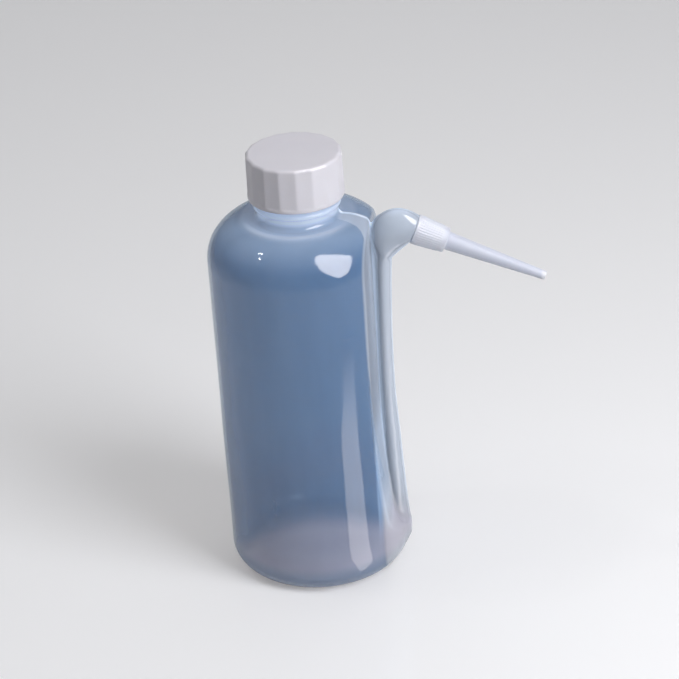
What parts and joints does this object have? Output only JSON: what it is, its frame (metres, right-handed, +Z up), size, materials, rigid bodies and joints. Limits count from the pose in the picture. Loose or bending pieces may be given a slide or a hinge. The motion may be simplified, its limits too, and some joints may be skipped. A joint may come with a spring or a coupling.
{
  "type": "wash bottle",
  "caption": "Squeezable laboratory wash bottle with a fluted screw cap and a side draw tube that bends over into a push-on tapered nozzle.",
  "frame": {"origin": "centre of the base, on the plane the bottle stands on", "axes": "+Z up the bottle's axis, +X towards the side tube and the nozzle"},
  "size_m": [0.1356, 0.075, 0.1847],
  "materials": {
    "bottle_plastic": "translucent low-density polyethylene, as blown, milky with a blue cast",
    "cap_plastic": "opaque white moulded polypropylene, satin",
    "liner_foam": "closed-cell polyethylene foam",
    "nozzle_plastic": "white moulded polyethylene, slightly translucent towards the tip"
  },
  "bodies": {
    "bottle": {"bottle": "bottle_plastic"},
    "liner": {"cap_liner": "liner_foam"},
    "cap": {"cap": "cap_plastic"},
    "nozzle": {"nozzle": "nozzle_plastic"}
  },
  "joints": [
    {"name": "cap_lift", "type": "slide", "parent": "bottle", "child": "liner", "axis": [0, 0, 1], "range_m": [0, 0.0181]},
    {"name": "cap_turn", "type": "hinge", "parent": "liner", "child": "cap", "pos_m": [0, 0, 0.1755], "axis": [0, 0, 1], "range_deg": [0, 1620]},
    {"name": "nozzle_pull", "type": "slide", "parent": "bottle", "child": "nozzle", "axis": [0.9285, 0, -0.3714], "range_m": [0, 0.016]}
  ],
  "couplings": [
    {"joint": "cap_lift", "follows": "cap_turn", "m_per_rad": 0.00063662}
  ]
}
